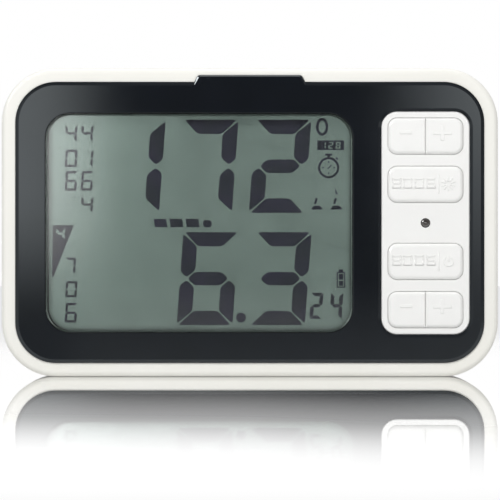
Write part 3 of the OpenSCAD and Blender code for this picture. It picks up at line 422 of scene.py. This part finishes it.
# parts of the stopwatch, from its middle: two ends and the width of a stroke, two corners and the rounding of a plate
watch = {"x": 36.0, "y": 15.4, "size": 5.9, "line": 0.62, "tickFrom": 1.3, "tickTo": 1.8, "tick": 0.32,
         "hand": (-0.25, -0.3, 0.8, 0.75, 0.28), "button": (2.12, 2.35, 2.45, 2.7, 0.7),
         "stem": (-0.4, 3.0, 0.4, 3.3, 0.0), "crown": (-1.0, 3.34, 1.0, 3.9, 0.28)}
wx, wy = watch["x"], watch["y"]
marks += [oval(wx, wy, watch["size"], watch["size"]),
          oval(wx, wy, watch["size"] - 2 * watch["line"], watch["size"] - 2 * watch["line"])]
marks += [bar(wx + watch["tickFrom"] * dx, wy + watch["tickFrom"] * dy, wx + watch["tickTo"] * dx,
              wy + watch["tickTo"] * dy, watch["tick"]) for dx, dy in ((1, 0), (0, 1), (-1, 0), (0, -1))]
for draw, part in ((bar, "hand"), (plate, "stem"), (plate, "crown"), (bar, "button")):
    x0, y0, x1, y1, last = watch[part]
    marks.append(draw(wx + x0, wy + y0, wx + x1, wy + y1, last))

boats = ({"x": 31.03, "hull": 3.45, "mastX": 1.64}, {"x": 36.35, "hull": 3.57, "mastX": 1.67})
boat = {"bottom": 3.75, "top": 4.85, "inLeft": 0.87, "inRight": 0.88, "corner": 0.5,
        "mastTop": 6.93, "mastFoot": 5.31, "rake": 0.47, "mast": 0.6, "mastCorner": 0.2}
for place in boats:
    x0, x1, mastX = place["x"], place["x"] + place["hull"], place["x"] + place["mastX"]
    marks += [rounded([(x0, boat["bottom"]), (x1, boat["bottom"]), (x1 - boat["inRight"], boat["top"]),
                       (x0 + boat["inLeft"], boat["top"])], boat["corner"]),
              bar(mastX, boat["mastTop"], mastX - boat["rake"], boat["mastFoot"], boat["mast"], boat["mastCorner"])]
windArrow = [(37.69, 9.91), (37.95, 7.96), (38.6, 8.01)]        # above the second boat
marks.append(windArrow)

# plates of the battery sign, from its lower left corner; inside one another they are filled and cut out by turns
battery = {"x": 38.25, "y": -17.99, "plates": (
    (0.58, 4.39, 1.75, 5.01), (0, 0, 2.37, 4.37), (0.3, 0.3, 2.07, 4.07),
    (0.6, 2.25, 1.8, 3.79), (0.6, 0.54, 1.8, 1.89))}
bx, by = battery["x"], battery["y"]
marks += [plate(bx + x0, by + y0, bx + x1, by + y1) for x0, y0, x1, y1 in battery["plates"]]
displayPiece("displayMarks", marks)

flag = {"top": -0.6, "bottom": -15.1, "left": -40.95, "wide": -34.9}
tag = {"left": 32.81, "right": 40.28, "bottom": 20.31, "top": 22.96}
displayPiece("displayFlags", [
    rounded([(flag["left"] + 0.19, flag["top"]), (flag["left"], flag["bottom"]),
             (flag["left"] + 0.35, flag["bottom"]), (flag["wide"], flag["top"])], 0.15),
    plate(tag["left"], tag["bottom"], tag["right"], tag["top"], 0.1)])

flagFigure = {"text": "4", "x": -38.6, "y": -3.0, "w": 2.5, "h": 3.1, "stroke": 0.7}
tagFigures = {"text": "128", "x": 34.55, "y": 21.62, "w": 1.35, "h": 1.9, "stroke": 0.36, "pitch": 2.05}
inkFace = [filmFace[0], filmFace[1] - 0.5 * film["thickness"] * mm, filmFace[2]]
cutPiece("displayCutouts", digits(flagFigure) + digits(tagFigures), inkFace, film["thickness"],
         materials["silveredPolariser"], "case")
print("display picture drawn")


# raised signs on the keys, in mm from the middle of each row of keys
sign = {"height": 0.2, "bevel": 0.09}


def cross(x, y, w, h, t):
    a, b, c = w / 2, h / 2, t / 2
    return [(x + px, y + py) for px, py in (
        (-a, -c), (-c, -c), (-c, -b), (c, -b), (c, -c), (a, -c), (a, c), (c, c), (c, b), (-c, b), (-c, c), (-a, c))]


def openRing(x, y, r, width, gap):        # a ring that is open at the top, as on a power sign
    start, stop, steps = math.radians(90 + gap), math.radians(450 - gap), 28
    angles = [start + (stop - start) * k / steps for k in range(steps + 1)]
    outer = [(x + r * math.cos(a), y + r * math.sin(a)) for a in angles]
    inner = [(x + (r - width) * math.cos(a), y + (r - width) * math.sin(a)) for a in reversed(angles)]
    return outer + inner


rowFigures = {"text": "8006", "places": (-8.0, -5.0, -1.75, 1.5), "y": 0.35, "w": 2.6, "h": 2.8, "stroke": 0.48,
              "divider": 3.65, "dividerFrom": -2.6, "dividerTo": 2.95, "line": 0.34}


def rowSigns(spec):        # four plain figures and a dividing stroke
    drawn = [bar(spec["divider"], spec["dividerFrom"], spec["divider"], spec["dividerTo"], spec["line"])]
    for figure, x in zip(spec["text"], spec["places"]):
        drawn += digit(figure, x, spec["y"], spec["w"], spec["h"], spec["stroke"])
    return drawn


sun = {"x": 6.3, "y": 0.2, "inner": 0.6, "outer": 2.0, "width": 0.36, "count": 10}
power = {"x": 6.35, "y": 0.05, "radius": 1.5, "line": 0.42, "gap": 32, "stem": 1.6}
signs = {
    "upper_minus": [plate(-7.2, 0.6, -3.85, 1.5, 0.1)],
    "upper_plus": [cross(4.7, 0.9, 5.2, 4.2, 0.95)],
    "upper_mode": rowSigns(rowFigures) + rays(**sun),
    "lower_mode": rowSigns(rowFigures)
    + [openRing(power["x"], power["y"], power["radius"], power["line"], power["gap"]),
       bar(power["x"], power["y"], power["x"], power["y"] + power["stem"], power["line"])],
    "lower_minus": [plate(-7.1, 0.6, -3.7, 1.45, 0.1)],
    "lower_plus": [cross(4.6, 0.95, 5.2, 4.0, 0.95)],
}
panelLow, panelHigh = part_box("key_panel")
for key, outlines in signs.items():
    low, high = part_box("key_" + key)
    face = [(panelLow.x + panelHigh.x) / 2, low.y + 0.02 * mm, (low.z + high.z) / 2]
    cutPiece("sign_" + key, outlines, face, sign["height"], materials["mouldedAbsKeys"], key,
             sign["bevel"])
print("key signs raised:", len(signs))


# floor: a polished white sheet that keeps the shadow and mirrors the set at a grazing look, less with distance
stand = {"size": 6.0, "plain": 0.84, "lift": 0.382, "polish": 0.995, "near": 0.102, "far": 0.817,
         "fadeFrom": 0.296, "fadeTo": 0.56, "leftSlant": 0.3, "duskFrom": 0.03, "duskTo": 0.10,
         "blotchMm": 60, "blotch": 0.01, "ior": 1.5, "grazeFrom": 0.3, "grazeTo": 0.7}


def polishedSheet():
    material, tree = newMaterial("polishedWhiteSheet")
    place = addNode(tree, "TexCoord").outputs["Object"]
    x, y, z = addNode(tree, "SeparateXYZ", {0: place}).outputs
    path = addNode(tree, "LightPath").outputs
    blotches = addNode(tree, "TexNoise", {"Vector": place, "Scale": 1 / (stand["blotchMm"] * mm)})
    tint = addNode(tree, "MapRange", {"Value": blotches, "To Min": stand["plain"],
                                      "To Max": stand["plain"] - stand["blotch"]})
    sheet = addNode(tree, "BsdfDiffuse", {"Color": tint})
    bent = addNode(tree, "Math", {0: path["Is Glossy Ray"], 1: path["Is Transmission Ray"]}, operation="MAXIMUM")
    seen = addNode(tree, "Math", {0: path["Is Camera Ray"], 1: bent}, operation="MAXIMUM")
    lift = addNode(tree, "Math", {0: seen, 1: stand["lift"]}, operation="MULTIPLY")
    plain = addNode(tree, "AddShader", {0: sheet, 1: addNode(tree, "Emission", {"Strength": lift})})

    # in gloss the floor ends soon before the set, so that the studio's dark end shows
    dusk = addNode(tree, "MapRange", {"Value": y, "From Min": -stand["duskFrom"], "From Max": -stand["duskTo"]})
    dark = addNode(tree, "Math", {0: dusk, 1: path["Is Glossy Ray"]}, operation="MULTIPLY")
    plain = addNode(tree, "MixShader", {0: dark, 1: plain, 2: addNode(tree, "BsdfTransparent")})

    left = addNode(tree, "Math", {0: x, 1: stand["leftSlant"]}, operation="MULTIPLY")
    across = addNode(tree, "Math", {0: x, 1: left}, operation="MAXIMUM")
    away = addNode(tree, "Math", {0: addNode(tree, "Math", {0: y}, operation="ABSOLUTE"), 1: across},
                   operation="SUBTRACT")
    even = addNode(tree, "MapRange", {"Value": away, "From Min": stand["near"], "From Max": stand["far"],
                                      "To Min": stand["polish"], "To Max": 0.0})
    soft = addNode(tree, "MapRange", {"Value": away, "From Min": stand["fadeTo"], "From Max": stand["fadeFrom"]},
                   interpolation_type="SMOOTHSTEP")
    grazing = addNode(tree, "MapRange", {"Value": addNode(tree, "Fresnel", {"IOR": stand["ior"]}),
                                         "From Min": stand["grazeFrom"], "From Max": stand["grazeTo"]})
    share = addNode(tree, "Math", {0: even, 1: soft}, operation="MULTIPLY")
    share = addNode(tree, "Math", {0: share, 1: grazing}, operation="MULTIPLY")
    share = addNode(tree, "Math", {0: share, 1: path["Is Camera Ray"]}, operation="MULTIPLY")
    mirror = addNode(tree, "BsdfGlossy", {"Color": (1, 1, 1, 1), "Roughness": 0.0})
    surface = addNode(tree, "MixShader", {0: share, 1: plain, 2: mirror})
    addNode(tree, "OutputMaterial", {"Surface": surface})
    return material


half = stand["size"] / 2
floorMesh = bpy.data.meshes.new("floor")
floorMesh.from_pydata([(-half, -half, 0), (half, -half, 0), (half, half, 0), (-half, half, 0)], [], [(0, 1, 2, 3)])
floorMesh.materials.append(polishedSheet())
floor = bpy.data.objects.new("floor", floorMesh)
bpy.context.scene.collection.objects.link(floor)
print("floor laid")


# studio: soft level light all round; in gloss a dark end in front with a card on each side, white elsewhere.
# each range is a start and an end of the direction and the level that it leads to
studio = {
    "level": 0.6, "frontMore": 0.2, "upMore": 0.11, "sideLess": 0.35, "dark": 0.01,
    "front": (-0.15, -0.35),        # y where the dark end begins
    "wide": (-0.95, -0.6, 0.25),        # y: a little light returns well off the axis
    "side": (-0.4, -0.75, 0.45),        # x: the left wall of the dark end
    "flank": (0.5, 0.95, 0.45),        # x either way: the white end fades towards the sides
    "leftX": (-0.0272, -0.0515, 2.5), "leftZ": (-0.0185, 0.0150, 0.03), "leftEnd": (-0.45, -0.3),
    "rightX": (0.0245, 0.0575, 2.3), "rightZ": (-0.019, 0.030, 0.05), "rightEnd": (0.45, 0.3),
    "cardTop": (0.35, 0.2),
    "strip": (-0.007, -0.0245, 0.44), "stripEnd": (-0.3, -0.15), "stripLeft": (-0.046, -0.036, 0.3),
    "roof": (0.85, 0.95, 3.0),        # z: softbox straight above
    "spark": (-0.78, -0.33, 0.53), "sparkEdge": (0.975, 0.99, 20.0),        # small lamp at the upper left
}


def studioWorld():
    world = bpy.data.worlds.new("studio")
    world.use_nodes = True
    tree = world.node_tree
    tree.nodes.clear()
    path = addNode(tree, "LightPath").outputs
    place = addNode(tree, "TexCoord").outputs["Generated"]
    x, y, z = addNode(tree, "SeparateXYZ", {0: place}).outputs

    # a card is bright where all of its ranges hold
    def card(ranges):
        light = None
        for axis, start, end, low, high, kind in ranges:
            part = addNode(tree, "MapRange", {"Value": axis, "From Min": start, "From Max": end,
                                              "To Min": low, "To Max": high}, interpolation_type=kind)
            light = part if light is None else addNode(tree, "Math", {0: light, 1: part}, operation="MULTIPLY")
        return light

    leftCard = card([(x, *studio["leftX"][:2], 0, studio["leftX"][2], "SMOOTHSTEP"),
                     (z, *studio["leftZ"], 1, "SMOOTHSTEP"), (x, *studio["leftEnd"], 0, 1, "LINEAR"),
                     (z, *studio["cardTop"], 0, 1, "LINEAR")])
    rightCard = card([(x, *studio["rightX"][:2], 0, studio["rightX"][2], "SMOOTHSTEP"),
                      (z, *studio["rightZ"], 1, "LINEAR"), (x, *studio["rightEnd"], 0, 1, "LINEAR"),
                      (z, *studio["cardTop"], 0, 1, "LINEAR")])
    strip = card([(z, *studio["strip"][:2], 0, studio["strip"][2], "LINEAR"),
                  (z, *studio["stripEnd"], 0, 1, "LINEAR"),
                  (x, *studio["stripLeft"], 1, "LINEAR")])
    wide = card([(y, *studio["wide"][:2], 0, studio["wide"][2], "LINEAR")])
    side = card([(x, *studio["side"][:2], 0, studio["side"][2], "LINEAR")])
    across = addNode(tree, "Math", {0: x}, operation="ABSOLUTE")
    roof = card([(z, *studio["roof"][:2], 1, studio["roof"][2], "SMOOTHSTEP"),
                 (across, *studio["flank"][:2], 1, studio["flank"][2], "SMOOTHSTEP")])
    front = addNode(tree, "Math", {0: leftCard, 1: rightCard}, operation="ADD")
    for more in (strip, wide, side, studio["dark"]):
        front = addNode(tree, "Math", {0: front, 1: more}, operation="ADD")
    ahead = card([(y, *studio["front"], 0, 1, "SMOOTHSTEP")])
    gloss = addNode(tree, "Mix", {0: ahead, 2: roof, 3: front}, data_type="FLOAT")
    toward = addNode(tree, "VectorMath", {0: place, 1: studio["spark"]}, operation="DOT_PRODUCT").outputs["Value"]
    spark = card([(toward, *studio["sparkEdge"][:2], 0, studio["sparkEdge"][2], "LINEAR")])
    gloss = addNode(tree, "Math", {0: gloss, 1: spark}, operation="ADD")

    level = studio["level"]        # soft light: more from the front and from above, less from the sides
    for axis, more in ((y, -studio["frontMore"]), (z, studio["upMore"]), (across, -studio["sideLess"])):
        level = addNode(tree, "Math", {0: axis, 1: more, 2: level}, operation="MULTIPLY_ADD")
    bent = addNode(tree, "Math", {0: path["Is Glossy Ray"], 1: path["Is Transmission Ray"]}, operation="MAXIMUM")
    strength = addNode(tree, "Mix", {0: bent, 2: level, 3: gloss}, data_type="FLOAT")
    strength = addNode(tree, "Mix", {0: path["Is Camera Ray"], 2: strength, 3: 1.0}, data_type="FLOAT")
    sky = addNode(tree, "Background", {"Color": (1, 1, 1, 1), "Strength": strength})
    addNode(tree, "OutputWorld", {"Surface": sky})
    world.cycles.sampling_method = "NONE"
    return world


scene = bpy.context.scene
scene.world = studioWorld()

lamp = {"place": (-0.06, -0.40, 0.44), "aim": (0, 0, 0.045), "size": 0.14, "power": 1.35}
softbox = bpy.data.lights.new("softbox", "AREA")
softbox.shape, softbox.size, softbox.energy = "SQUARE", lamp["size"], lamp["power"]
softboxObject = bpy.data.objects.new("softbox", softbox)
softboxObject.location = lamp["place"]
softboxObject.visible_glossy = False        # glossy faces show the studio alone
aim = Vector(lamp["aim"]) - softboxObject.location
softboxObject.rotation_euler = aim.to_track_quat("-Z", "Y").to_euler()
scene.collection.objects.link(softboxObject)

view = {"distance": 1.2, "x": 0.00007, "height": 0.03519, "faceY": -0.0133, "frameWidth": 0.13875, "sensor": 36.0,
        "clip": (0.01, 20)}
cameraData = bpy.data.cameras.new("camera")
cameraData.sensor_width = view["sensor"]
cameraData.lens = view["sensor"] * view["distance"] / view["frameWidth"]
cameraData.clip_start, cameraData.clip_end = view["clip"]
camera = bpy.data.objects.new("camera", cameraData)
camera.location = (view["x"], view["faceY"] - view["distance"], view["height"])
camera.rotation_euler = (math.pi / 2, 0, 0)
scene.collection.objects.link(camera)
scene.camera = camera
scene.view_settings.view_transform = "Standard"
print("lamp, world and camera placed")
